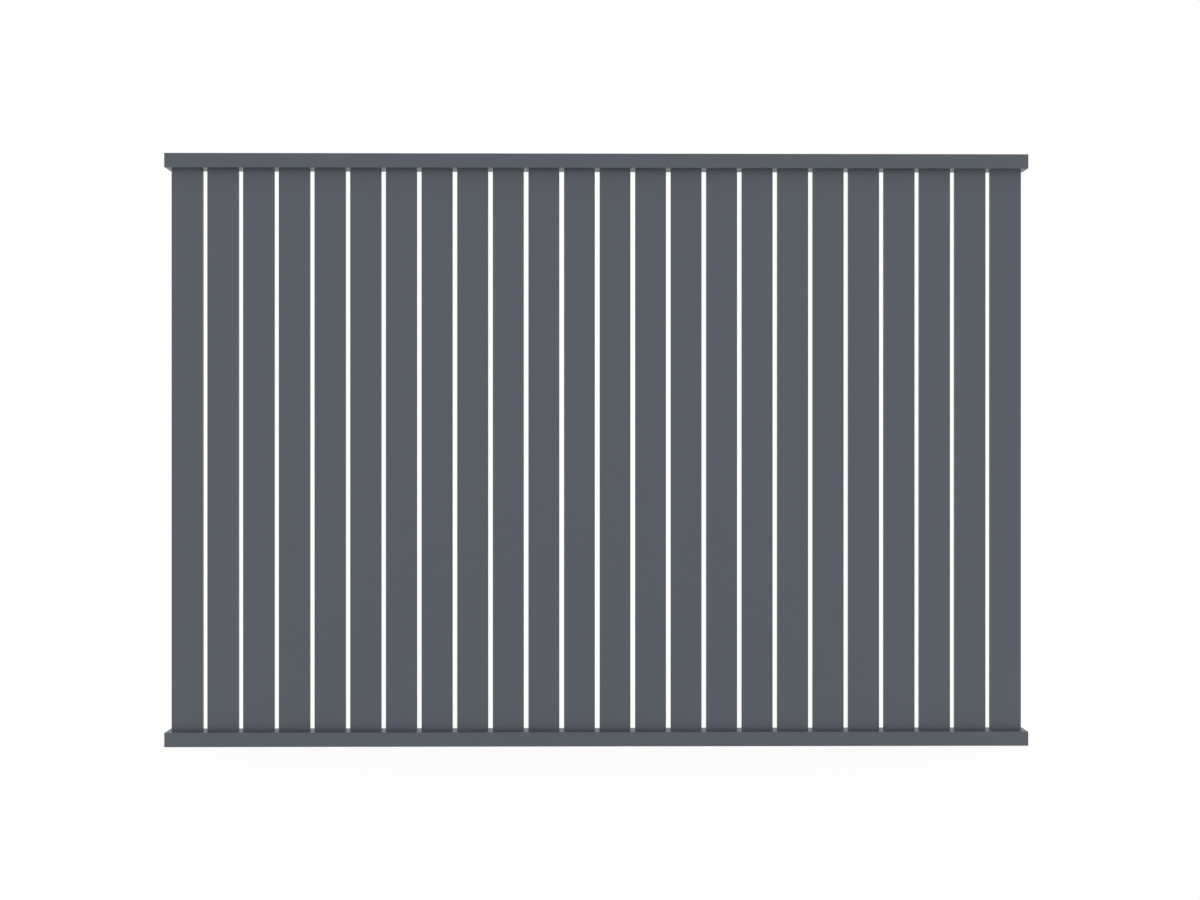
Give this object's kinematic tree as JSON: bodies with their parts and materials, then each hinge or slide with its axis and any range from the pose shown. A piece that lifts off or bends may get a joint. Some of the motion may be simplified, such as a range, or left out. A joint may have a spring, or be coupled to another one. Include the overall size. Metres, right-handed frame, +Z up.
{
  "type": "vertical slat fence panel",
  "caption": "Fence panel of flat hollow vertical slats with narrow gaps, set into a top and a bottom box rail and held by bars hidden in the rails; grey powder-coated aluminium.",
  "frame": {"origin": "middle of the bottom rail's underside, on the ground", "axes": "+X along the panel, to the right as seen from the front; +Y to the back; +Z up"},
  "size_m": [1.81, 0.05, 1.242],
  "materials": {
    "powder_coat": "fine-textured satin anthracite grey polyester powder coat on extruded aluminium",
    "bar_metal": "mill finish, uncoated, hidden inside the rails",
    "cap_plastic": "fine-grained matt nylon moulding in the colour of the coat"
  },
  "bodies": {
    "root": {"top_rail": "powder_coat", "bottom_rail": "powder_coat", "slat_01": "powder_coat", "slat_02": "powder_coat", "slat_03": "powder_coat", "slat_04": "powder_coat", "slat_05": "powder_coat", "slat_06": "powder_coat", "slat_07": "powder_coat", "slat_08": "powder_coat", "slat_09": "powder_coat", "slat_10": "powder_coat", "slat_11": "powder_coat", "slat_12": "powder_coat", "slat_13": "powder_coat", "slat_14": "powder_coat", "slat_15": "powder_coat", "slat_16": "powder_coat", "slat_17": "powder_coat", "slat_18": "powder_coat", "slat_19": "powder_coat", "slat_20": "powder_coat", "slat_21": "powder_coat", "slat_22": "powder_coat", "slat_23": "powder_coat", "slat_24": "powder_coat", "top_retaining_bar": "bar_metal", "bottom_retaining_bar": "bar_metal", "top_left_end_cap": "cap_plastic", "top_right_end_cap": "cap_plastic", "bottom_left_end_cap": "cap_plastic", "bottom_right_end_cap": "cap_plastic"}
  },
  "joints": []
}
